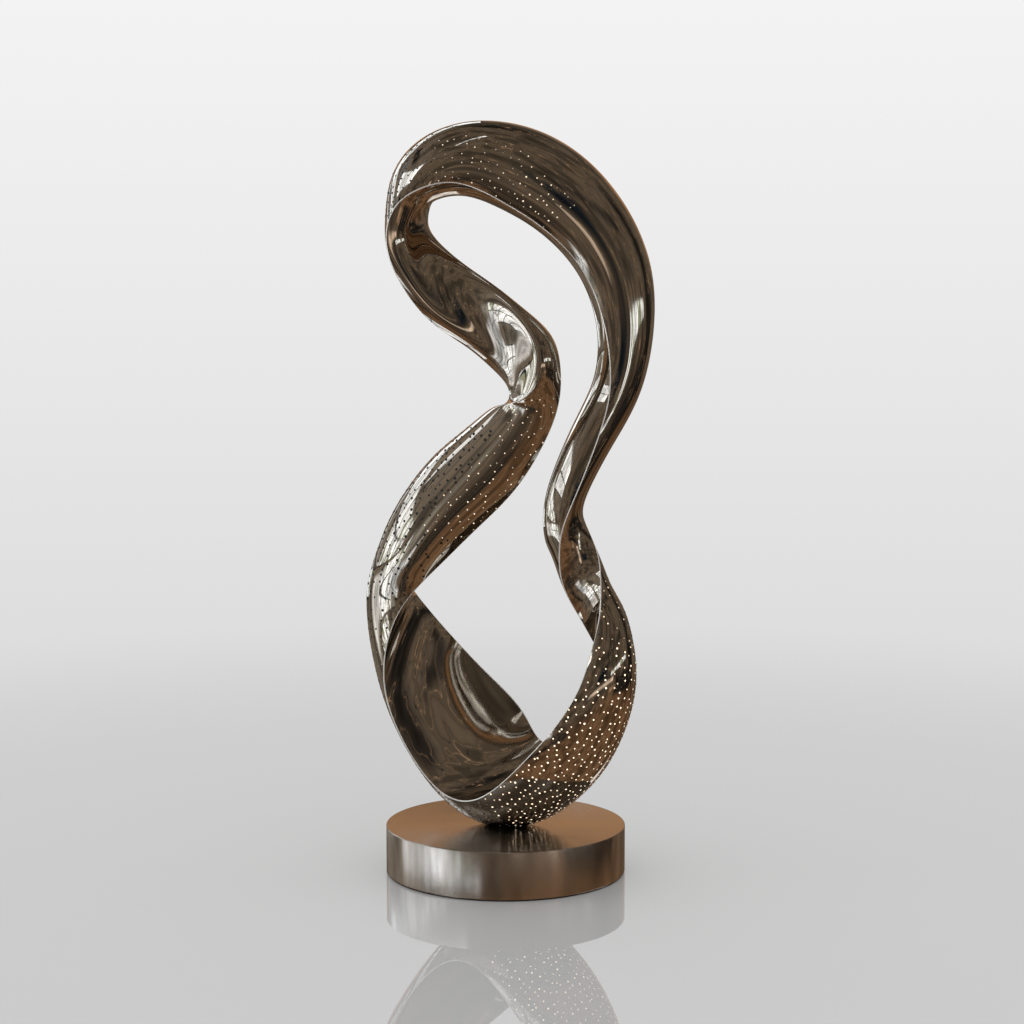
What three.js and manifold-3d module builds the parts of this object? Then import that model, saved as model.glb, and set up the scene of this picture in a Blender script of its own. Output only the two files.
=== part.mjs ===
// Abstract metal sculpture: a broad twisted band of polished steel closed into one loop, standing on a
// low round plinth. Millimetres, +Z up, the front faces -Y, origin at the middle of the plinth's underside.
import * as THREE from "three";
import { mergeVertices } from "three/addons/utils/BufferGeometryUtils.js";
import Module from "manifold-3d";

// The plinth: a plain drum with slightly eased edges.
const plinthDiameter = 600;
const plinthHeight = 120;
const plinthEdge = 3;
const plinthSides = 128;

// The loop rests on a small flat, a hair above the plinth.
const seatGap = 0.3;

// The band has two sharp rims and two smooth faces between them, and turns over once on its way round.
// Each station cuts the band square across: rim 1 (x, y, z), rim 2 (x, y, z), then how far face A and
// face B swell beyond the straight line from rim to rim (a negative swell is a hollow face), how far
// face A leans towards rim 1 in hundredths of its height, and how deep its trough beside rim 2 is.
// The stations run from the seat up the right arm, over the top and down the left arm.
const stations = [
  [-70, -140, 215, 100, 130, 300, 141, -30, 0, 0], // seat
  [40, -235, 325, 195, 45, 330, 130, -30, 0, 0], // low right 1
  [120, -275, 425, 245, -25, 415, 113, -25, 0, 0], // low right 2
  [175, -270, 515, 250, -65, 510, 105, -20, 0, 0], // low right 3
  [205, -240, 600, 220, -95, 585, 99, -18, 0, 0], // S right 1
  [225, -205, 675, 180, -125, 660, 92, -12, 0, 0], // S right 2
  [230, -180, 745, 140, -145, 740, 92, -8, 0, 0], // S right 3
  [225, -145, 815, 130, -165, 820, 92, -3, 0, 0], // S right 4
  [200, -100, 880, 140, -175, 890, 84, 8, 0, 0], // neck low
  [185, -45, 965, 175, -160, 975, 76, 22, 0, 0], // neck
  [240, 10, 1090, 225, -120, 1100, 75, 36, 0, 0], // right up 1
  [320, 50, 1225, 255, -80, 1225, 73, 48, 0, 0], // right up 2
  [365, 70, 1385, 240, -50, 1375, 76, 55, 0, 0], // right up 3
  [350, 85, 1555, 180, -40, 1515, 90, 62, 0, 0], // right up 4
  [255, 95, 1725, 85, -40, 1610, 102, 70, 0, 0], // right up 5
  [105, 100, 1840, -10, -40, 1670, 110, 72, 0, 0], // top right
  [-70, 105, 1865, -120, -40, 1715, 106, 68, 5, 0], // top
  [-220, 125, 1800, -220, -50, 1695, 94, 48, 14, 5], // top left
  [-270, 120, 1675, -275, -60, 1645, 92, 22, 22, 14], // left 1
  [-250, 105, 1580, -290, -60, 1565, 90, 16, 28, 24], // left 2
  [-185, 80, 1510, -255, -55, 1470, 92, 18, 32, 36], // left 3
  [-95, 50, 1460, -185, -40, 1380, 92, 26, 35, 46], // left 4
  [10, 10, 1415, -95, -10, 1315, 92, 34, 35, 50], // S left 1
  [105, -35, 1355, -25, 5, 1255, 92, 32, 25, 46], // S left 2
  [135, -60, 1265, 20, 20, 1205, 92, 15, 10, 20], // S left 3
  [130, -70, 1175, 5, 75, 1155, 92, 5, -3, 0], // mid left 1
  [95, -60, 1080, -75, 120, 1085, 102, 0, -12, 0], // mid left 2
  [25, -30, 965, -165, 150, 1020, 108, 0, -15, 0], // mid left 3
  [-70, 0, 865, -245, 180, 890, 116, 0, -10, 0], // mid left 4
  [-170, 20, 765, -270, 200, 755, 116, -5, 0, 0], // mid left 5
  [-265, 20, 655, -210, 220, 645, 118, -15, 0, 0], // low left 1
  [-305, 5, 515, -130, 210, 555, 114, -28, 0, 0], // low left 2
  [-275, -30, 375, -45, 190, 470, 108, -35, 0, 0], // low left 3
  [-180, -80, 235, 45, 165, 375, 124, -36, 0, 0], // low left 4
];

// How finely the band is cut: sections round the loop, and flats across each face.
const sectionCount = 170;
const flatsA = 12;
const flatsB = 8;

// The trough runs across face A from this place, where -1 is rim 1 and 1 is rim 2, to rim 2.
const troughStart = -0.5;

// Passes that bring the spline through its stations, and half the step that gives its direction.
const splinePasses = 60;
const travelStep = 0.002;

// Half the angle of a face's arc, in radians, below which the face is plainly flat.
const flatSweep = 0.001;

// The block that trims the band flat at the seat.
const trimWidth = 1000;
const trimHeight = 400;

// Control values whose closed cubic B-spline passes through the given values.
function throughValues(values) {
  const count = values.length;
  let controls = values;
  for (let pass = 0; pass < splinePasses; pass++) {
    controls = values.map((value, i) => {
      const neighbours = controls[(i + 1) % count] + controls[(i + count - 1) % count];
      return (6 * value - neighbours) / 4;
    });
  }
  return controls;
}

const columns = stations[0].map((_, column) => throughValues(stations.map((row) => row[column])));

// The stations' values at t, from 0 to 1 round the loop, as two rim points and the face values.
function bandAt(t) {
  const count = stations.length;
  const place = ((t + 1) % 1) * count;
  const first = Math.floor(place);
  const u = place - first;
  const weights = [
    (1 - u) ** 3 / 6,
    (3 * u ** 3 - 6 * u ** 2 + 4) / 6,
    (-3 * u ** 3 + 3 * u ** 2 + 3 * u + 1) / 6,
    u ** 3 / 6,
  ];
  const values = columns.map((controls) =>
    weights.reduce((sum, weight, k) => sum + weight * controls[(first + count - 1 + k) % count], 0),
  );
  const [swellA, swellB, lean, trough] = values.slice(6);
  return {
    rim1: new THREE.Vector3(...values.slice(0, 3)),
    rim2: new THREE.Vector3(...values.slice(3, 6)),
    swellA,
    swellB,
    lean: lean / 100,
    trough,
  };
}

// Points on one face of a section, from one rim up to the other, which is left out: a round arc that
// rises by swell, leans back towards its start, and has a trough beside its far end.
function facePoints(from, to, rise, swell, lean, trough, flats) {
  const half = from.distanceTo(to) / 2;
  const middle = from.clone().add(to).multiplyScalar(0.5);
  const along = to.clone().sub(from).normalize();
  const sweep = 2 * Math.atan2(swell, half); // half the arc's angle
  const radius = half / Math.sin(sweep);
  const points = [];
  for (let i = 0; i < flats; i++) {
    const part = (2 * i) / flats - 1;
    const isFlat = Math.abs(sweep) < flatSweep;
    const distance = isFlat ? part * half : radius * Math.sin(part * sweep);
    const height = isFlat ? 0 : radius * (Math.cos(part * sweep) - Math.cos(sweep));
    const intoTrough = Math.max(part - troughStart, 0) / (1 - troughStart);
    const valley = trough * Math.sin(Math.PI * intoTrough) ** 2;
    points.push(
      middle
        .clone()
        .addScaledVector(along, distance - lean * height)
        .addScaledVector(rise, height - valley),
    );
  }
  return points;
}

// The band's section at t: over face A from rim 1 to rim 2, and back over face B.
function section(t) {
  const { rim1, rim2, swellA, swellB, lean, trough } = bandAt(t);
  const ahead = bandAt(t + travelStep);
  const behind = bandAt(t - travelStep);
  const travel = ahead.rim1.add(ahead.rim2).sub(behind.rim1).sub(behind.rim2);
  const rise = rim2.clone().sub(rim1).cross(travel).normalize();
  return [
    ...facePoints(rim1, rim2, rise, swellA, lean, trough, flatsA),
    ...facePoints(rim2, rim1, rise.clone().negate(), swellB, 0, 0, flatsB),
  ];
}

function bandGeometry() {
  const around = flatsA + flatsB;
  const positions = [];
  const faces = [];
  for (let i = 0; i < sectionCount; i++) {
    section(i / sectionCount).forEach((p) => positions.push(p.x, p.y, p.z));
    const next = (i + 1) % sectionCount;
    for (let j = 0; j < around; j++) {
      const k = (j + 1) % around;
      const corners = [i * around + j, i * around + k, next * around + k, next * around + j];
      faces.push(corners[0], corners[1], corners[2], corners[0], corners[2], corners[3]);
    }
  }
  const geometry = new THREE.BufferGeometry();
  geometry.setAttribute("position", new THREE.Float32BufferAttribute(positions, 3));
  geometry.setIndex(faces);
  return geometry;
}

function plinthGeometry() {
  const radius = plinthDiameter / 2;
  const profile = [
    new THREE.Vector2(0, 0),
    new THREE.Vector2(radius - plinthEdge, 0),
    new THREE.Vector2(radius, plinthEdge),
    new THREE.Vector2(radius, plinthHeight - plinthEdge),
    new THREE.Vector2(radius - plinthEdge, plinthHeight),
    new THREE.Vector2(0, plinthHeight),
  ];
  return new THREE.LatheGeometry(profile, plinthSides).rotateX(Math.PI / 2);
}

const wasm = await Module();
wasm.setup();

function toSolid(geometry) {
  const bare = geometry.clone();
  bare.deleteAttribute("normal");
  bare.deleteAttribute("uv");
  const merged = mergeVertices(bare);
  return new wasm.Manifold(
    new wasm.Mesh({
      numProp: 3,
      vertProperties: merged.getAttribute("position").array,
      triVerts: new Uint32Array(merged.index.array),
    }),
  );
}

function toGeometry(solid) {
  const mesh = solid.getMesh();
  const geometry = new THREE.BufferGeometry();
  geometry.setAttribute("position", new THREE.Float32BufferAttribute(mesh.vertProperties, 3));
  geometry.setIndex(Array.from(mesh.triVerts));
  geometry.computeVertexNormals();
  return geometry;
}

// The band without what lies below the seat.
function seatedBand() {
  const block = new THREE.BoxGeometry(trimWidth, trimWidth, trimHeight);
  block.translate(0, 0, plinthHeight + seatGap - trimHeight / 2);
  return toGeometry(toSolid(bandGeometry()).subtract(toSolid(block)));
}

const polishedSteel = new THREE.MeshStandardMaterial({ color: 0xbdb6ad, roughness: 0.06, metalness: 1 });
const brushedSteel = new THREE.MeshStandardMaterial({ color: 0xa89c90, roughness: 0.3, metalness: 1 });

const loop = new THREE.Mesh(seatedBand(), polishedSteel);
loop.name = "twisted_loop";

const plinth = new THREE.Mesh(plinthGeometry(), brushedSteel);
plinth.name = "round_plinth";

const group = new THREE.Group();
group.add(plinth, loop);
export default group;
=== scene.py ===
import math
import random
import bmesh
import bpy
import numpy as np
from mathutils import Matrix, Vector


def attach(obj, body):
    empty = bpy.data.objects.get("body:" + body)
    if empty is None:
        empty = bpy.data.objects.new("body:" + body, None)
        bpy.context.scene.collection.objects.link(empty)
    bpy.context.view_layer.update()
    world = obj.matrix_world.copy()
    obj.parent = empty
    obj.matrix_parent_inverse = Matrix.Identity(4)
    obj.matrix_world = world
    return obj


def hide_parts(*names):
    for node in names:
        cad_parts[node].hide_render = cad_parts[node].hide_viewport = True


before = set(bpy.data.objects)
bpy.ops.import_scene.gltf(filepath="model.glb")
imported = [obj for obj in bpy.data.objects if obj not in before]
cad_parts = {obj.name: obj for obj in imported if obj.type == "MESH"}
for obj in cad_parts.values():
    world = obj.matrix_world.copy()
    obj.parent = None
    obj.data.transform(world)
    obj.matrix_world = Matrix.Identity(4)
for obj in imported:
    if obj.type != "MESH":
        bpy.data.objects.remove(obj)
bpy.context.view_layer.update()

scene = bpy.context.scene
scene.view_settings.view_transform = "Standard"

# The camera stands at a visitor's eye height, about five and a half metres in front.
cameraSettings = {"place": (0.016, -5.4, 1.434), "downDegrees": 5.58, "lens": 76.8, "sensor": 36}
cameraData = bpy.data.cameras.new("frontCamera")
cameraData.lens = cameraSettings["lens"]
cameraData.sensor_width = cameraSettings["sensor"]
camera = bpy.data.objects.new("frontCamera", cameraData)
camera.location = cameraSettings["place"]
camera.rotation_euler = (math.radians(90 - cameraSettings["downDegrees"]), 0, 0)
scene.collection.objects.link(camera)
scene.camera = camera


def showMesh(name, shape, material):
    mesh = bpy.data.meshes.new(name)
    shape.to_mesh(mesh)
    shape.free()
    mesh.materials.append(material)
    piece = bpy.data.objects.new(name, mesh)
    scene.collection.objects.link(piece)
    return piece


def newMaterial(name):
    material = bpy.data.materials.new(name)
    material.use_nodes = True
    return material, material.node_tree, material.node_tree.nodes["Principled BSDF"]


def addNode(tree, kind, **settings):
    node = tree.nodes.new(kind)
    for key, value in settings.items():
        if key in node.inputs:
            node.inputs[key].default_value = value
        else:
            setattr(node, key, value)
    return node


def joinNodes(tree, *pairs):
    for start, end in pairs:
        tree.links.new(start, end)


# The loop is a twisted band with two sharp rims, and these are its cuts all the way round.
# A cut has rim 1 (x, y, z), rim 2 (x, y, z), the swell of face A, the swell of face B and the depth of the
# trough in face A, in millimetres. The lean of face A, second to last, is in hundredths of its height.
band = {
    "stations": [
        (-70, -140, 215, 100, 130, 300, 141, -30, 0, 0),  # seat
        (40, -235, 325, 195, 45, 330, 130, -30, 0, 0),  # low right 1
        (120, -275, 425, 245, -25, 415, 113, -25, 0, 0),  # low right 2
        (175, -270, 515, 250, -65, 510, 105, -20, 0, 0),  # low right 3
        (205, -240, 600, 220, -95, 585, 99, -18, 0, 0),  # S right 1
        (225, -205, 675, 180, -125, 660, 92, -12, 0, 0),  # S right 2
        (230, -180, 745, 140, -145, 740, 92, -8, 0, 0),  # S right 3
        (225, -145, 815, 130, -165, 820, 92, -3, 0, 0),  # S right 4
        (200, -100, 880, 140, -175, 890, 84, 8, 0, 0),  # neck low
        (185, -45, 965, 175, -160, 975, 76, 22, 0, 0),  # neck
        (240, 10, 1090, 225, -120, 1100, 75, 36, 0, 0),  # right up 1
        (320, 50, 1225, 255, -80, 1225, 73, 48, 0, 0),  # right up 2
        (365, 70, 1385, 240, -50, 1375, 76, 55, 0, 0),  # right up 3
        (350, 85, 1555, 180, -40, 1515, 90, 62, 0, 0),  # right up 4
        (255, 95, 1725, 85, -40, 1610, 102, 70, 0, 0),  # right up 5
        (105, 100, 1840, -10, -40, 1670, 110, 72, 0, 0),  # top right
        (-70, 105, 1865, -120, -40, 1715, 106, 68, 5, 0),  # top
        (-220, 125, 1800, -220, -50, 1695, 94, 48, 14, 5),  # top left
        (-270, 120, 1675, -275, -60, 1645, 92, 22, 22, 14),  # left 1
        (-250, 105, 1580, -290, -60, 1565, 90, 16, 28, 24),  # left 2
        (-185, 80, 1510, -255, -55, 1470, 92, 18, 32, 36),  # left 3
        (-95, 50, 1460, -185, -40, 1380, 92, 26, 35, 46),  # left 4
        (10, 10, 1415, -95, -10, 1315, 92, 34, 35, 50),  # S left 1
        (105, -35, 1355, -25, 5, 1255, 92, 32, 25, 46),  # S left 2
        (135, -60, 1265, 20, 20, 1205, 92, 15, 10, 20),  # S left 3
        (130, -70, 1175, 5, 75, 1155, 92, 5, -3, 0),  # mid left 1
        (95, -60, 1080, -75, 120, 1085, 102, 0, -12, 0),  # mid left 2
        (25, -30, 965, -165, 150, 1020, 108, 0, -15, 0),  # mid left 3
        (-70, 0, 865, -245, 180, 890, 116, 0, -10, 0),  # mid left 4
        (-170, 20, 765, -270, 200, 755, 116, -5, 0, 0),  # mid left 5
        (-265, 20, 655, -210, 220, 645, 118, -15, 0, 0),  # low left 1
        (-305, 5, 515, -130, 210, 555, 114, -28, 0, 0),  # low left 2
        (-275, -30, 375, -45, 190, 470, 108, -35, 0, 0),  # low left 3
        (-180, -80, 235, 45, 165, 375, 124, -36, 0, 0),  # low left 4
    ],
    "sections": 680,      # cuts round the loop
    "facetsFront": 48,    # facets across face A
    "facetsBack": 32,     # facets across face B
    "troughFrom": -0.5,   # the trough in face A runs from here to rim 2
    "rimWidth": 0.003,    # the rounded edge of the sheet, painted pale as a highlight line
    "rimSegments": 2,
    "seatHeight": 0.1203,
    "scale": 0.0009992,   # millimetres to metres, a hair inside the solid
    "leanScale": 0.009992,  # the same for the lean
    "settling": 60,       # rounds that bring the curve through its stations
    "probe": 0.002,       # how far to each side the direction along the loop is read
    "leastSweep": 0.001,  # keeps a flat face from an endless radius
}


# The control points of the closed cubic B-spline that passes through the values.
def throughValues(values):
    controls = values.copy()
    for _ in range(band["settling"]):
        controls = (6 * values - np.roll(controls, 1, 0) - np.roll(controls, -1, 0)) / 4
    return controls


columnScales = np.array([band["scale"]] * 8 + [band["leanScale"], band["scale"]])
stationControls = throughValues(np.array(band["stations"], float) * columnScales)


def bandAt(turn):
    place = (turn % 1) * len(stationControls)
    first = int(place)
    u = place - first
    middleWeights = (3 * u**3 - 6 * u**2 + 4, -3 * u**3 + 3 * u**2 + 3 * u + 1)
    weights = np.array([(1 - u) ** 3, *middleWeights, u**3]) / 6
    rows = [(first + k) % len(stationControls) for k in (-1, 0, 1, 2)]
    return weights @ stationControls[rows]


def bandSection(turn):
    values = bandAt(turn)
    step = bandAt(turn + band["probe"]) - bandAt(turn - band["probe"])
    rise = np.cross(values[3:6] - values[:3], step[:3] + step[3:6])
    return values, rise / np.linalg.norm(rise)


# Points across a face, whose parts run from -1 at its first rim to 1 at its second.
def facePoints(section, face, parts):
    values, rise = section
    rim1, rim2 = values[:3], values[3:6]
    swellA, swellB, lean, trough = values[6:]
    if face == "B":
        rim1, rim2, rise = rim2, rim1, -rise
        swellA, lean, trough = swellB, 0, 0
    half = np.linalg.norm(rim2 - rim1) / 2
    along = (rim2 - rim1) / (2 * half)
    sweep = 2 * math.atan2(swellA, half)
    sweep = math.copysign(max(abs(sweep), band["leastSweep"]), sweep)
    radius = half / math.sin(sweep)
    distance = radius * np.sin(parts * sweep)
    height = radius * (np.cos(parts * sweep) - math.cos(sweep))
    start = band["troughFrom"]
    valley = np.where(parts > start, trough * np.sin(math.pi * (parts - start) / (1 - start)) ** 2, 0)
    middle = (rim1 + rim2) / 2
    return middle + np.outer(distance - lean * height, along) + np.outer(height - valley, rise)


def makeBand(material):
    front, back = band["facetsFront"], band["facetsBack"]
    around = front + back
    sections = []
    for k in range(band["sections"]):
        section = bandSection(k / band["sections"])
        faceA = facePoints(section, "A", np.arange(front) * 2 / front - 1)
        faceB = facePoints(section, "B", np.arange(back) * 2 / back - 1)
        sections.append(np.vstack([faceA, faceB]))
    shape = bmesh.new()
    bmesh.ops.create_grid(shape, x_segments=band["sections"], y_segments=around, size=1)
    onRim = {}
    for vert in shape.verts:  # the grid is rolled up: each point goes to its own place on the band
        row = round((vert.co.x + 1) / 2 * band["sections"]) % band["sections"]
        column = round((vert.co.y + 1) / 2 * around) % around
        vert.co = sections[row][column]
        vert.co.z = max(vert.co.z, band["seatHeight"])
        if column in (0, front):
            onRim[vert] = column
    bmesh.ops.remove_doubles(shape, verts=[v for v in shape.verts if v.is_boundary], dist=1e-6)
    onRim = {vert: column for vert, column in onRim.items() if vert.is_valid}
    rims = [e for e in shape.edges if e.verts[0] in onRim and onRim[e.verts[0]] == onRim.get(e.verts[1])]
    # the rim strip's faces are marked here; the steel is painted pale there as a painted highlight
    rimLayer = shape.faces.layers.float.new("rim")
    made = bmesh.ops.bevel(shape, geom=rims, offset=band["rimWidth"], offset_type="WIDTH",
                           segments=band["rimSegments"], profile=0.5, affect="EDGES", material=-1)
    for face in made["faces"]:
        face[rimLayer] = 1
    bmesh.ops.recalc_face_normals(shape, faces=shape.faces[:])
    for face in shape.faces:
        face.smooth = True
    for edge in shape.edges:
        edge.smooth = sum(f[rimLayer] for f in edge.link_faces) != 1
    return showMesh("polishedBand", shape, material)


# The small lit holes lie on the band in patches: proud discs with a lamp-lit core inside a ring painted near black
# as painted shade of the bore.
holes = {
    "radius": 0.0030, "sides": 8, "proud": 0.0004, "depth": 0.001, "ringWidth": 0.0007, "sunk": 0.00015,
    "seed": 4, "jitter": 0.35, "sizes": (0.75, 1.15), "rimMargin": 0.97, "overSeat": 0.004,
    # face, from and to round the loop, from and to across the face, spacing, size, how brightly lit (an unlit core
    # shows the painted shade)
    "patches": [
        ("A", (0.005, 0.12), (-0.97, 0.97), 0.0145, 1.0, (0.4, 0.9)),
        ("A", (0.12, 0.19), (-0.97, 0.97), 0.016, 0.9, (0, 0.6)),
        ("A", (-0.03, 0.005), (-0.35, 0.97), 0.0125, 0.95, (0.4, 0.9)),
        ("A", (-0.03, 0.005), (-0.97, -0.35), 0.0125, 0.95, (0, 0.1)),
        ("A", (-0.10, -0.03), (-0.97, 0.97), 0.018, 0.9, (0, 0.2)),
        ("A", (0.73, 0.835), (-0.97, -0.35), 0.019, 0.8, (0.1, 0.6)),
        ("A", (0.765, 0.90), (-0.35, 0.97), 0.018, 1.15, (0, 0)),
        ("A", (0.835, 0.90), (-0.97, -0.35), 0.019, 1.15, (0, 0)),
        ("B", (0.41, 0.44), (-0.97, -0.25), 0.020, 0.8, (0.1, 0.6)),
        ("B", (0.44, 0.485), (-0.97, 0.0), 0.021, 0.75, (0.05, 0.45)),
        ("B", (0.485, 0.54), (-0.97, 0.30), 0.016, 0.9, (0, 0.05)),
    ],
}


def makePlug():
    shape = bmesh.new()
    bmesh.ops.create_cone(shape, cap_ends=True, segments=holes["sides"], radius1=holes["radius"],
                          radius2=holes["radius"], depth=holes["depth"],
                          matrix=Matrix.Translation((0, 0, -holes["depth"] / 2)))
    top = max(shape.faces, key=lambda face: face.calc_center_median().z)
    bmesh.ops.inset_region(shape, faces=[top], thickness=holes["ringWidth"], depth=-holes["sunk"])
    plug = bpy.data.meshes.new("plug")
    shape.to_mesh(plug)
    shape.free()
    glow = plug.attributes.new("glow", "FLOAT", "FACE")
    # the lit core is the face in the middle of the top
    core = min(plug.polygons, key=lambda face: math.hypot(*face.center[:2]) - face.center.z)
    return plug, glow.name, core.index


def placeOnBand(face, turn, part):
    aside, ahead = 0.01, 0.0005
    near = facePoints(bandSection(turn), face, np.array([part, part + aside]))
    far = facePoints(bandSection(turn + ahead), face, np.array([part]))
    out = Vector(np.cross(near[1] - near[0], far[0] - near[0])).normalized()
    facing = out.to_track_quat("Z", "Y").to_matrix().to_4x4()
    return Matrix.Translation(Vector(near[0]) + out * holes["proud"]) @ facing


def makeHoles(material):
    chance = random.Random(holes["seed"])
    plug, glow, core = makePlug()
    shape = bmesh.new()
    jitter, margin, step = holes["jitter"], holes["rimMargin"], 0.001
    for face, (turn, last), (firstPart, lastPart), spacing, size, lit in holes["patches"]:
        while turn < last:
            values, ahead = bandAt(turn), bandAt(turn + step)
            width = np.linalg.norm(values[3:6] - values[:3])
            speed = np.linalg.norm((ahead - values)[:3] + (ahead - values)[3:6]) / (2 * step)
            stepAcross = 2 * spacing / width
            part = firstPart + chance.uniform(0, stepAcross)
            while part < lastPart:
                here = turn + chance.uniform(-jitter, jitter) * spacing / speed
                aside = min(max(part + chance.uniform(-jitter, jitter) * stepAcross, -margin), margin)
                place = placeOnBand(face, here, aside)
                if place.translation.z > band["seatHeight"] + holes["overSeat"]:
                    drilled = plug.copy()
                    drilled.attributes[glow].data[core].value = chance.uniform(*lit)
                    drilled.transform(place @ Matrix.Scale(size * chance.uniform(*holes["sizes"]), 4))
                    shape.from_mesh(drilled)
                    bpy.data.meshes.remove(drilled)
                part += stepAcross
            turn += spacing / speed
    bpy.data.meshes.remove(plug)
    return showMesh("litHoles", shape, material)


# The plinth is a brushed drum on a thin recessed pad. The pad is painted near black as painted shadow under the
# drum, on top of the real shade in its recess.
plinth = {"radius": 0.3, "height": 0.12, "edge": 0.002, "padHeight": 0.004, "padInset": 0.004, "sides": 192,
          "smoothDegrees": 15}


def makePlinth(steel, rubber):
    drum = bmesh.new()
    low, high = plinth["padHeight"], plinth["height"]
    bmesh.ops.create_cone(drum, cap_ends=True, segments=plinth["sides"], radius1=plinth["radius"],
                          radius2=plinth["radius"], depth=high - low,
                          matrix=Matrix.Translation((0, 0, (high + low) / 2)))
    corners = [e for e in drum.edges if abs(e.verts[0].co.z - e.verts[1].co.z) < 1e-6]
    bmesh.ops.bevel(drum, geom=corners, offset=plinth["edge"], segments=3, profile=0.5,
                    affect="EDGES", material=-1)
    for edge in drum.edges:
        edge.smooth = edge.calc_face_angle(0) < math.radians(plinth["smoothDegrees"])
    for face in drum.faces:
        face.smooth = True
    pad = bmesh.new()
    inner = plinth["radius"] - plinth["padInset"]
    bmesh.ops.create_cone(pad, cap_ends=True, segments=plinth["sides"], radius1=inner, radius2=inner,
                          depth=low, matrix=Matrix.Translation((0, 0, low / 2)))
    return showMesh("brushedDrum", drum, steel), showMesh("footPad", pad, rubber)


def polishedSteel():
    look = {"tint": (0.50, 0.46, 0.41, 1), "rimPaintedHighlight": (0.86, 0.84, 0.80, 1), "gloss": 0.045,
            "rimGloss": 0.3, "rimMetal": 0.45, "wave": 9.0, "waveDepth": 0.0003, "dent": 32.0, "dentDepth": 0.00004,
            "smear": {"Scale": 14.0, "Detail": 6.0, "Roughness": 0.7}, "smeared": (0.45, 0.8), "haze": 0.05}
    material, tree, shader = newMaterial("polishedSteel")
    metal = addNode(tree, "ShaderNodeMix", data_type="FLOAT")
    metal.inputs[2].default_value, metal.inputs[3].default_value = 1, look["rimMetal"]
    place = addNode(tree, "ShaderNodeTexCoord")
    rim = addNode(tree, "ShaderNodeAttribute", attribute_name="rim")
    smear = addNode(tree, "ShaderNodeTexNoise", **look["smear"])
    # on the rim strip the steel turns pale and partly matt: a painted highlight along the edge
    tint = addNode(tree, "ShaderNodeMix", data_type="RGBA")
    tint.inputs[6].default_value, tint.inputs[7].default_value = look["tint"], look["rimPaintedHighlight"]
    haze = addNode(tree, "ShaderNodeMapRange")
    haze.inputs["From Min"].default_value, haze.inputs["From Max"].default_value = look["smeared"]
    haze.inputs["To Min"].default_value = look["gloss"]
    haze.inputs["To Max"].default_value = look["gloss"] + look["haze"]
    gloss = addNode(tree, "ShaderNodeMix", data_type="FLOAT")
    gloss.inputs[3].default_value = look["rimGloss"]
    wave = addNode(tree, "ShaderNodeTexNoise", Scale=look["wave"], Detail=1.0)
    waves = addNode(tree, "ShaderNodeBump", Distance=look["waveDepth"])
    dent = addNode(tree, "ShaderNodeTexNoise", Scale=look["dent"], Detail=2.0)
    dents = addNode(tree, "ShaderNodeBump", Distance=look["dentDepth"])
    joinNodes(tree, (place.outputs["Object"], smear.inputs["Vector"]),
              (place.outputs["Object"], wave.inputs["Vector"]),
              (place.outputs["Object"], dent.inputs["Vector"]), (rim.outputs["Fac"], tint.inputs[0]),
              (tint.outputs[2], shader.inputs["Base Color"]), (smear.outputs["Fac"], haze.inputs["Value"]),
              (haze.outputs[0], gloss.inputs[2]), (rim.outputs["Fac"], gloss.inputs[0]),
              (rim.outputs["Fac"], metal.inputs[0]), (metal.outputs[0], shader.inputs["Metallic"]),
              (gloss.outputs[0], shader.inputs["Roughness"]), (wave.outputs["Fac"], waves.inputs["Height"]),
              (dent.outputs["Fac"], dents.inputs["Height"]), (waves.outputs[0], dents.inputs["Normal"]),
              (dents.outputs[0], shader.inputs["Normal"]))
    return material


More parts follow.
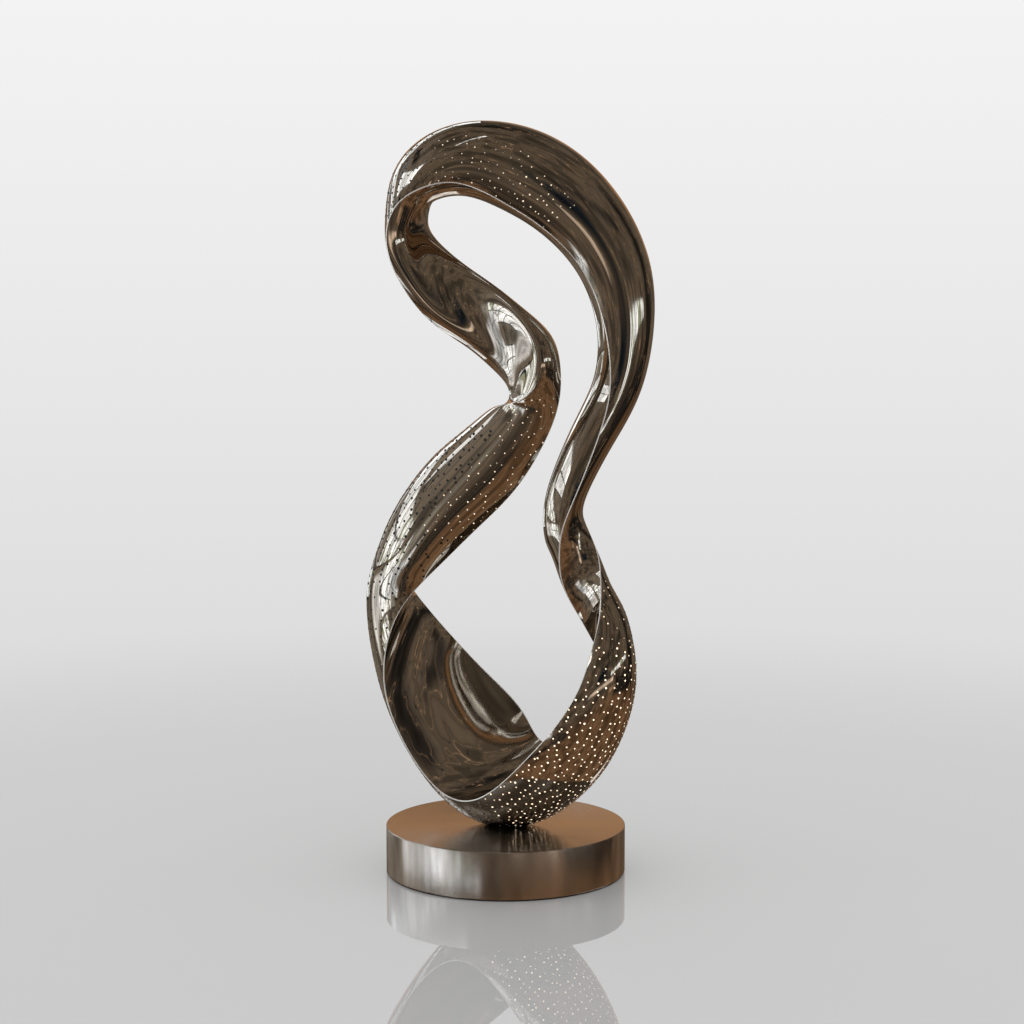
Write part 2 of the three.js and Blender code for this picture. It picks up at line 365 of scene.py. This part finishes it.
def brushedSteel():
    look = {"tint": (0.57, 0.54, 0.51, 1), "worn": (0.47, 0.44, 0.41, 1), "gloss": (0.17, 0.25),
            "drawn": 0.85, "drawnTurn": 0.25, "grain": 420.0, "upright": 2.4, "around": 6,
            "grainDepth": 0.00005, "cloud": 9.0, "clouded": (0.35, 0.65)}
    material, tree, shader = newMaterial("brushedSteel")
    shader.inputs["Metallic"].default_value = 1
    shader.inputs["Anisotropic"].default_value = look["drawn"]
    shader.inputs["Anisotropic Rotation"].default_value = look["drawnTurn"]  # drawn out across the grooves
    turned = addNode(tree, "ShaderNodeTangent", direction_type="RADIAL", axis="Z")
    tree.links.new(turned.outputs[0], shader.inputs["Tangent"])
    place = addNode(tree, "ShaderNodeTexCoord")
    parts = addNode(tree, "ShaderNodeSeparateXYZ")
    flat = addNode(tree, "ShaderNodeVectorMath", operation="MULTIPLY")
    flat.inputs[1].default_value = (1, 1, 0)
    reach = addNode(tree, "ShaderNodeVectorMath", operation="LENGTH")
    angle = addNode(tree, "ShaderNodeMath", operation="ARCTAN2")
    ring = addNode(tree, "ShaderNodeCombineXYZ")  # out from the middle, up, and slowly round
    spread = addNode(tree, "ShaderNodeVectorMath", operation="MULTIPLY")
    spread.inputs[1].default_value = (look["grain"], look["upright"] * look["grain"], look["around"])
    grain = addNode(tree, "ShaderNodeTexNoise", Scale=1.0, Detail=3.0, Roughness=0.6)
    grooves = addNode(tree, "ShaderNodeBump", Distance=look["grainDepth"])
    cloud = addNode(tree, "ShaderNodeTexNoise", Scale=look["cloud"], Detail=4.0, Roughness=0.6)
    both = addNode(tree, "ShaderNodeMix", data_type="FLOAT")
    both.inputs[0].default_value = 0.5
    tint = addNode(tree, "ShaderNodeMix", data_type="RGBA")
    tint.inputs[6].default_value, tint.inputs[7].default_value = look["worn"], look["tint"]
    sheen = addNode(tree, "ShaderNodeMapRange")
    sheen.inputs["From Min"].default_value, sheen.inputs["From Max"].default_value = look["clouded"]
    sheen.inputs["To Min"].default_value, sheen.inputs["To Max"].default_value = look["gloss"]
    joinNodes(tree, (place.outputs["Object"], parts.inputs[0]), (place.outputs["Object"], flat.inputs[0]),
              (flat.outputs[0], reach.inputs[0]), (parts.outputs["Y"], angle.inputs[0]),
              (parts.outputs["X"], angle.inputs[1]), (reach.outputs["Value"], ring.inputs["X"]),
              (parts.outputs["Z"], ring.inputs["Y"]), (angle.outputs[0], ring.inputs["Z"]),
              (ring.outputs[0], spread.inputs[0]), (spread.outputs[0], grain.inputs["Vector"]),
              (grain.outputs["Fac"], grooves.inputs["Height"]),
              (grooves.outputs[0], shader.inputs["Normal"]),
              (place.outputs["Object"], cloud.inputs["Vector"]), (cloud.outputs["Fac"], both.inputs[2]),
              (grain.outputs["Fac"], both.inputs[3]), (both.outputs[0], tint.inputs[0]),
              (tint.outputs[2], shader.inputs["Base Color"]), (cloud.outputs["Fac"], sheen.inputs["Value"]),
              (sheen.outputs[0], shader.inputs["Roughness"]))
    return material


def holeGlowAndPaintedShade():
    look = {"paintedBoreShade": (0.01, 0.009, 0.008, 1), "lamp": (1, 0.80, 0.58, 1), "power": 2.6, "gloss": 0.6}
    material, tree, shader = newMaterial("holeGlowAndPaintedShade")
    glow = addNode(tree, "ShaderNodeAttribute", attribute_name="glow")
    light = addNode(tree, "ShaderNodeMix", data_type="RGBA")
    light.inputs[6].default_value, light.inputs[7].default_value = (0, 0, 0, 1), look["lamp"]
    # the ring and any unlit core are painted near black: painted shade of the hole's bore
    shader.inputs["Base Color"].default_value = look["paintedBoreShade"]
    shader.inputs["Roughness"].default_value = look["gloss"]
    shader.inputs["Emission Strength"].default_value = look["power"]
    joinNodes(tree, (glow.outputs["Fac"], light.inputs[0]),
              (light.outputs[2], shader.inputs["Emission Color"]))
    return material


def rubberPadAndPaintedShadow():
    # the pad's near-black colour is painted shadow under the drum, besides the real shade of its recess; the
    # speckle is its own
    look = {"dark": (0.008, 0.0075, 0.007, 1), "dusty": (0.03, 0.028, 0.026, 1), "gloss": 0.85,
            "pebble": 260.0, "depth": 0.0001}
    material, tree, shader = newMaterial("rubberPadAndPaintedShadow")
    place = addNode(tree, "ShaderNodeTexCoord")
    pebble = addNode(tree, "ShaderNodeTexNoise", Scale=look["pebble"], Detail=2.0)
    shade = addNode(tree, "ShaderNodeMix", data_type="RGBA")
    shade.inputs[6].default_value, shade.inputs[7].default_value = look["dark"], look["dusty"]
    bump = addNode(tree, "ShaderNodeBump", Distance=look["depth"])
    shader.inputs["Roughness"].default_value = look["gloss"]
    joinNodes(tree, (place.outputs["Object"], pebble.inputs["Vector"]),
              (pebble.outputs["Fac"], shade.inputs[0]), (shade.outputs[2], shader.inputs["Base Color"]),
              (pebble.outputs["Fac"], bump.inputs["Height"]), (bump.outputs[0], shader.inputs["Normal"]))
    return material


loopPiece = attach(makeBand(polishedSteel()), "root")
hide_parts("twisted_loop")
print("band made")
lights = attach(makeHoles(holeGlowAndPaintedShade()), "root")
print("holes made")
drum, pad = makePlinth(brushedSteel(), rubberPadAndPaintedShadow())
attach(drum, "root")
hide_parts("round_plinth")
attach(pad, "root")
print("plinth made")

# The eye sees a pale backdrop, and the steel mirrors a brown hall with tall windows.
hall = {
    "ceiling": (0.128, 0.100, 0.072, 1),
    "wall": (0.138, 0.107, 0.078, 1),
    "floor": (0.195, 0.108, 0.056, 1),
    "leftWall": (0.240, 0.205, 0.165, 1),
    "ceilingBlend": (-0.1, 0.4),   # heights, as sines, where wall turns to ceiling
    "leftBlend": (-0.2, -0.9),     # how far left, as sines, where it turns to the left wall
    "floorBlend": (0.15, 0.6),     # depths, as sines, where it turns to floor
    "floorTilt": 0.3,              # raises the floor's tone on the right
    "clutter": {"Scale": 5.0, "Detail": 1.5, "Roughness": 0.6},
    "shaded": (0.3, 0.7),     # the levels of the clutter that its shade runs between
    "shade": (0.45, 1.50),    # how dark and how light the clutter makes it
    "trees": {"Scale": 7.0, "Detail": 4.0, "Roughness": 0.65},
    "leaves": (0.44, 0.54),   # the levels of the noise where trees begin and are full
    "treeLine": 0.05,         # the height, as a sine, where trees are fullest
    "treeThinning": 0.45,     # how fast they thin out above and below it
    # thin edges of things: level of the clutter, half width, colour
    "lines": [
        (0.43, 0.006, (0.03, 0.025, 0.02, 1)),
        (0.53, 0.005, (0.50, 0.33, 0.20, 1)),
        (0.60, 0.006, (0.03, 0.025, 0.02, 1)),
    ],
    "garden": [(1.9, 2.0, 2.1, 1), (0.50, 0.54, 0.38, 1)],  # sky and trees behind the glass
    "street": [(1.8, 1.9, 2.0, 1), (0.60, 0.64, 0.66, 1)],
    "frame": (0.02, 0.018, 0.016, 1),
    "frameShare": 0.10,       # the share of a pane that its bar takes
    "grazing": 0.02,          # no panel shows to directions nearer its own plane than this
    # Each panel faces an azimuth (0 is the viewer's side, 90 the right) and an elevation. Then come its
    # reach across and up in tangents, the width of its soft edge, and its colour or its window.
    "panels": [
        ((-70, 0), (-0.80, 0.84), (-0.42, -0.02), 0.08, (0.38, 0.37, 0.32, 1)),
        ((-90, 0), (-0.50, 0.42), (-0.36, -0.02), 0.06, (1.02, 1.03, 1.04, 1)),
        ((-64, 0), (-0.38, 0.38), (-0.38, -0.02), 0.01, {"view": "garden", "panes": (5, 2)}),
        ((-108, 0), (-0.25, 0.25), (0.60, 1.00), 0.10, (0.24, 0.25, 0.26, 1)),
        ((-100, 0), (-0.36, 0.40), (1.04, 1.30), 0.05, (0.02, 0.02, 0.02, 1)),
        ((-43, 0), (-0.42, 0.42), (-0.80, -0.60), 0.08, (0.03, 0.026, 0.022, 1)),
        ((-12, 0), (-0.24, 0.22), (-0.72, -0.35), 0.10, (0.04, 0.034, 0.028, 1)),
        ((165, 0), (-0.50, 0.50), (1.00, 2.60), 0.30, (0.03, 0.026, 0.022, 1)),
        ((112, 0), (-0.30, 0.30), (-0.20, 1.00), 0.20, (0.04, 0.034, 0.028, 1)),
        ((85, 0), (-0.55, 0.80), (-0.34, 0.05), 0.10, (0.02, 0.018, 0.016, 1)),
        ((18, 0), (-0.22, 0.22), (0.10, 0.50), 0.12, (0.015, 0.022, 0.03, 1)),
        ((50, 0), (-0.60, 0.60), (0.50, 0.78), 0.12, (0.05, 0.042, 0.035, 1)),
        ((28, 0), (-0.45, 0.40), (-0.01, 0.09), 0.03, (1.10, 0.88, 0.70, 1)),
        ((52, 0), (-0.14, 0.16), (-0.18, -0.08), 0.04, (0.50, 0.32, 0.20, 1)),
        ((65, 0), (-0.47, 0.47), (0.12, 0.205), 0.01, {"view": "garden", "panes": (9, 1)}),
        ((-38, 0), (-0.36, 0.28), (-0.46, -0.24), 0.10, {"view": "street", "panes": (4, 2)}),
        ((-133, 0), (-0.40, 3.60), (0.03, 0.53), 0.01, {"view": "garden", "panes": (10, 2)}),
        ((-133, 0), (-0.27, 0.32), (0.03, 0.33), 0.05, (0.30, 0.27, 0.24, 1)),
        ((-67, 0), (-0.60, 0.51), (0.52, 0.93), 0.01, {"view": "garden", "panes": (8, 2)}),
        ((-157, 0), (-0.42, 0.42), (0.56, 0.88), 0.01, {"view": "garden", "panes": (4, 2)}),
        ((-150, 0), (-0.25, 0.30), (-0.14, 0.00), 0.01, {"view": "garden", "panes": (3, 1)}),
        ((168, 0), (-0.35, 0.30), (-1.20, -0.55), 0.05, (1.30, 1.25, 1.20, 1)),
        ((178, 0), (-0.60, 0.55), (0.02, 0.50), 0.15, (0.48, 0.265, 0.135, 1)),
        ((0, -90), (-0.85, -0.30), (-0.50, 0.40), 0.05, {"view": "street", "panes": (2, 4)}),
        ((50, 90), (-0.69, -0.09), (-0.17, -0.13), 0.01, {"view": "garden", "panes": (4, 1)}),
    ],
    # the pale backdrop's shade at heights that are given as sines, and the reach of its ramp
    "backdrop": [(-0.32, 0.644), (-0.182, 0.708), (-0.097, 0.761), (0, 0.823), (0.128, 0.896)],
    "rampReach": 0.4,
}


# Where a direction meets a panel, and how much of the panel shows there.
def makePanelGroup():
    group = bpy.data.node_groups.new("panelMask", "ShaderNodeTree")
    face = group.interface
    for name in ("Heading", "Toward", "Side", "Rise", "Centre", "Half"):
        face.new_socket(name=name, in_out="INPUT", socket_type="NodeSocketVector")
    face.new_socket(name="Edge", in_out="INPUT", socket_type="NodeSocketFloat")
    face.new_socket(name="Place", in_out="OUTPUT", socket_type="NodeSocketVector")
    face.new_socket(name="Mask", in_out="OUTPUT", socket_type="NodeSocketFloat")
    start, end = group.nodes.new("NodeGroupInput"), group.nodes.new("NodeGroupOutput")
    dots = [addNode(group, "ShaderNodeVectorMath", operation="DOT_PRODUCT") for _ in range(3)]
    for node, name in zip(dots, ("Toward", "Side", "Rise")):
        joinNodes(group, (start.outputs["Heading"], node.inputs[0]), (start.outputs[name], node.inputs[1]))
    ahead = addNode(group, "ShaderNodeMath", operation="MAXIMUM")
    ahead.inputs[1].default_value = hall["grazing"]
    across, up = (addNode(group, "ShaderNodeMath", operation="DIVIDE") for _ in range(2))
    place = addNode(group, "ShaderNodeCombineXYZ")
    shift = addNode(group, "ShaderNodeVectorMath", operation="SUBTRACT")
    away = addNode(group, "ShaderNodeVectorMath", operation="ABSOLUTE")
    inside = addNode(group, "ShaderNodeVectorMath", operation="SUBTRACT")
    parts = addNode(group, "ShaderNodeSeparateXYZ")
    nearest = addNode(group, "ShaderNodeMath", operation="MINIMUM")
    ratio = addNode(group, "ShaderNodeMath", operation="DIVIDE", use_clamp=True)
    seen = addNode(group, "ShaderNodeMath", operation="GREATER_THAN")
    seen.inputs[1].default_value = hall["grazing"]
    mask = addNode(group, "ShaderNodeMath", operation="MULTIPLY")
    joinNodes(group,
              (dots[0].outputs["Value"], ahead.inputs[0]), (dots[1].outputs["Value"], across.inputs[0]),
              (dots[2].outputs["Value"], up.inputs[0]), (ahead.outputs[0], across.inputs[1]),
              (ahead.outputs[0], up.inputs[1]), (across.outputs[0], place.inputs["X"]),
              (up.outputs[0], place.inputs["Y"]), (place.outputs[0], shift.inputs[0]),
              (start.outputs["Centre"], shift.inputs[1]), (shift.outputs[0], away.inputs[0]),
              (start.outputs["Half"], inside.inputs[0]), (away.outputs[0], inside.inputs[1]),
              (inside.outputs[0], parts.inputs[0]), (parts.outputs["X"], nearest.inputs[0]),
              (parts.outputs["Y"], nearest.inputs[1]), (nearest.outputs[0], ratio.inputs[0]),
              (start.outputs["Edge"], ratio.inputs[1]), (dots[0].outputs["Value"], seen.inputs[0]),
              (ratio.outputs[0], mask.inputs[0]), (seen.outputs[0], mask.inputs[1]),
              (mask.outputs[0], end.inputs["Mask"]), (place.outputs[0], end.inputs["Place"]))
    return group


# A window's colour: sky and trees behind panes with a bar at two sides of each.
def makePaneGroup():
    group = bpy.data.node_groups.new("windowView", "ShaderNodeTree")
    face = group.interface
    for name in ("Place", "Corner", "Pane"):
        face.new_socket(name=name, in_out="INPUT", socket_type="NodeSocketVector")
    for name in ("Sky", "Garden"):
        face.new_socket(name=name, in_out="INPUT", socket_type="NodeSocketColor")
    face.new_socket(name="Trees", in_out="INPUT", socket_type="NodeSocketFloat")
    face.new_socket(name="Colour", in_out="OUTPUT", socket_type="NodeSocketColor")
    start, end = group.nodes.new("NodeGroupInput"), group.nodes.new("NodeGroupOutput")
    shift = addNode(group, "ShaderNodeVectorMath", operation="SUBTRACT")
    share = addNode(group, "ShaderNodeVectorMath", operation="DIVIDE")
    within = addNode(group, "ShaderNodeVectorMath", operation="FRACTION")
    parts = addNode(group, "ShaderNodeSeparateXYZ")
    edge = addNode(group, "ShaderNodeMath", operation="MINIMUM")
    bar = addNode(group, "ShaderNodeMath", operation="GREATER_THAN")
    bar.inputs[1].default_value = hall["frameShare"]
    view = addNode(group, "ShaderNodeMix", data_type="RGBA")
    framed = addNode(group, "ShaderNodeMix", data_type="RGBA")
    framed.inputs[6].default_value = hall["frame"]
    joinNodes(group,
              (start.outputs["Place"], shift.inputs[0]), (start.outputs["Corner"], shift.inputs[1]),
              (shift.outputs[0], share.inputs[0]), (start.outputs["Pane"], share.inputs[1]),
              (share.outputs[0], within.inputs[0]), (within.outputs[0], parts.inputs[0]),
              (parts.outputs["X"], edge.inputs[0]), (parts.outputs["Y"], edge.inputs[1]),
              (edge.outputs[0], bar.inputs[0]), (start.outputs["Trees"], view.inputs[0]),
              (start.outputs["Sky"], view.inputs[6]), (start.outputs["Garden"], view.inputs[7]),
              (view.outputs[2], framed.inputs[7]), (bar.outputs[0], framed.inputs[0]),
              (framed.outputs[2], end.inputs["Colour"]))
    return group


def combine(tree, operation, first, second):
    node = addNode(tree, "ShaderNodeMath", operation=operation)
    for socket, value in zip(node.inputs, (first, second)):
        if isinstance(value, (int, float)):
            socket.default_value = value
        else:
            tree.links.new(value, socket)
    return node.outputs[0]


def blend(tree, amount, first, second):
    node = addNode(tree, "ShaderNodeMix", data_type="RGBA")
    for socket, value in zip((node.inputs[0], node.inputs[6], node.inputs[7]), (amount, first, second)):
        if isinstance(value, tuple):
            socket.default_value = value
        else:
            tree.links.new(value, socket)
    return node.outputs[2]


def between(tree, value, low, high):
    node = addNode(tree, "ShaderNodeMapRange", interpolation_type="SMOOTHSTEP")
    node.inputs["From Min"].default_value, node.inputs["From Max"].default_value = low, high
    tree.links.new(value, node.inputs["Value"])
    return node.outputs[0]


def hallTone(tree, x, z):
    upper = blend(tree, between(tree, z, *hall["ceilingBlend"]), hall["wall"], hall["ceiling"])
    tone = blend(tree, between(tree, x, *hall["leftBlend"]), upper, hall["leftWall"])
    below = combine(tree, "SUBTRACT", combine(tree, "MULTIPLY", x, hall["floorTilt"]), z)
    return blend(tree, between(tree, below, *hall["floorBlend"]), tone, hall["floor"])


def treesOutside(tree, heading, z):
    leaves = addNode(tree, "ShaderNodeTexNoise", **hall["trees"])
    tree.links.new(heading, leaves.inputs["Vector"])
    offLine = combine(tree, "ABSOLUTE", combine(tree, "SUBTRACT", z, hall["treeLine"]), 0)
    thinning = combine(tree, "MULTIPLY", offLine, hall["treeThinning"])
    dense = combine(tree, "SUBTRACT", leaves.outputs["Fac"], thinning)
    return between(tree, dense, *hall["leaves"])


def addPanels(tree, heading, trees, tone):
    panelGroup, paneGroup = makePanelGroup(), makePaneGroup()
    for facing, (left, right), (low, high), edge, filling in hall["panels"]:
        azimuth, elevation = (math.radians(angle) for angle in facing)
        level = math.cos(elevation)
        toward = Vector((math.sin(azimuth) * level, -math.cos(azimuth) * level, math.sin(elevation)))
        side = Vector((math.cos(azimuth), math.sin(azimuth), 0))
        mask = addNode(tree, "ShaderNodeGroup", node_tree=panelGroup)
        for name, value in (("Toward", toward), ("Side", side), ("Rise", toward.cross(side)),
                            ("Centre", ((left + right) / 2, (low + high) / 2, 0)),
                            ("Half", ((right - left) / 2, (high - low) / 2, 0)), ("Edge", edge)):
            mask.inputs[name].default_value = value
        tree.links.new(heading, mask.inputs["Heading"])
        if isinstance(filling, dict):
            across, up = filling["panes"]
            glass = addNode(tree, "ShaderNodeGroup", node_tree=paneGroup)
            glass.inputs["Sky"].default_value, glass.inputs["Garden"].default_value = hall[filling["view"]]
            glass.inputs["Corner"].default_value = (left, low, 0)
            glass.inputs["Pane"].default_value = ((right - left) / across, (high - low) / up, 1)
            joinNodes(tree, (trees, glass.inputs["Trees"]), (mask.outputs["Place"], glass.inputs["Place"]))
            filling = glass.outputs[0]
        tone = blend(tree, mask.outputs["Mask"], tone, filling)
    return tone


def addClutter(tree, heading, tone):
    clutter = addNode(tree, "ShaderNodeTexNoise", **hall["clutter"])
    tree.links.new(heading, clutter.inputs["Vector"])
    shade = addNode(tree, "ShaderNodeMapRange")
    shade.inputs["From Min"].default_value, shade.inputs["From Max"].default_value = hall["shaded"]
    shade.inputs["To Min"].default_value, shade.inputs["To Max"].default_value = hall["shade"]
    tree.links.new(clutter.outputs["Fac"], shade.inputs["Value"])
    varied = addNode(tree, "ShaderNodeVectorMath", operation="SCALE")
    joinNodes(tree, (tone, varied.inputs[0]), (shade.outputs[0], varied.inputs["Scale"]))
    tone = varied.outputs[0]
    for level, halfWidth, colour in hall["lines"]:
        away = combine(tree, "ABSOLUTE", combine(tree, "SUBTRACT", clutter.outputs["Fac"], level), 0)
        tone = blend(tree, between(tree, away, halfWidth, halfWidth / 2), tone, colour)
    return tone


def paleBackdrop(tree, z):
    reach = hall["rampReach"]
    fade = addNode(tree, "ShaderNodeMapRange")
    fade.inputs["From Min"].default_value, fade.inputs["From Max"].default_value = -reach, reach
    tree.links.new(z, fade.inputs["Value"])
    ramp = addNode(tree, "ShaderNodeValToRGB")
    tree.links.new(fade.outputs[0], ramp.inputs[0])
    stops = ramp.color_ramp.elements
    while len(stops) < len(hall["backdrop"]):
        stops.new(0.5)
    for stop, (height, grey) in zip(stops, hall["backdrop"]):
        stop.position = (height + reach) / (2 * reach)
        stop.color = (grey, grey, grey, 1)
    return ramp.outputs[0]


def makeStudio():
    world = bpy.data.worlds.new("studio")
    scene.world = world
    world.use_nodes = True
    world.cycles.sampling_method = "NONE"
    tree = world.node_tree
    heading = addNode(tree, "ShaderNodeTexCoord").outputs["Generated"]
    parts = addNode(tree, "ShaderNodeSeparateXYZ")
    tree.links.new(heading, parts.inputs[0])
    x, z = parts.outputs["X"], parts.outputs["Z"]
    tone = addPanels(tree, heading, treesOutside(tree, heading, z), hallTone(tree, x, z))
    tone = addClutter(tree, heading, tone)
    # Rays that the steel mirrors see the hall. The eye and the floor's sharp mirror see the backdrop.
    path = addNode(tree, "ShaderNodeLightPath")
    blurred = combine(tree, "SUBTRACT", 1, path.outputs["Is Singular Ray"])
    mirrored = combine(tree, "MULTIPLY", path.outputs["Is Glossy Ray"], blurred)
    pale, brown = tree.nodes["Background"], addNode(tree, "ShaderNodeBackground")
    chosen = addNode(tree, "ShaderNodeMixShader")
    joinNodes(tree, (paleBackdrop(tree, z), pale.inputs["Color"]), (tone, brown.inputs["Color"]),
              (mirrored, chosen.inputs[0]), (pale.outputs[0], chosen.inputs[1]),
              (brown.outputs[0], chosen.inputs[2]),
              (chosen.outputs[0], tree.nodes["World Output"].inputs["Surface"]))


def makeFloor():
    ground = {"radius": 9, "sides": 96, "shade": 0.63, "mirror": 2.2, "fadeFrom": 1.6, "fadeTo": 4.5}
    shape = bmesh.new()
    bmesh.ops.create_circle(shape, cap_ends=True, segments=ground["sides"], radius=ground["radius"])
    material, tree, shader = newMaterial("paleFloor")
    tree.nodes.remove(shader)
    matt = addNode(tree, "ShaderNodeBsdfDiffuse")
    matt.inputs["Color"].default_value = (ground["shade"],) * 3 + (1,)
    gloss = addNode(tree, "ShaderNodeBsdfGlossy")
    gloss.inputs["Roughness"].default_value = 0
    fresnel = addNode(tree, "ShaderNodeFresnel")
    fresnel.inputs["IOR"].default_value = ground["mirror"]
    surface = addNode(tree, "ShaderNodeMixShader")
    clear = addNode(tree, "ShaderNodeBsdfTransparent")
    place = addNode(tree, "ShaderNodeTexCoord")
    reach = addNode(tree, "ShaderNodeVectorMath", operation="LENGTH")
    away = addNode(tree, "ShaderNodeMapRange", interpolation_type="SMOOTHSTEP")
    away.inputs["From Min"].default_value = ground["fadeFrom"]
    away.inputs["From Max"].default_value = ground["fadeTo"]
    whole = addNode(tree, "ShaderNodeMixShader")
    joinNodes(tree, (fresnel.outputs[0], surface.inputs[0]), (matt.outputs[0], surface.inputs[1]),
              (gloss.outputs[0], surface.inputs[2]), (place.outputs["Object"], reach.inputs[0]),
              (reach.outputs["Value"], away.inputs["Value"]), (away.outputs[0], whole.inputs[0]),
              (surface.outputs[0], whole.inputs[1]), (clear.outputs[0], whole.inputs[2]),
              (whole.outputs[0], tree.nodes["Material Output"].inputs["Surface"]))
    floor = showMesh("floor", shape, material)
    floor.visible_glossy = False


makeStudio()
makeFloor()
print("studio made")
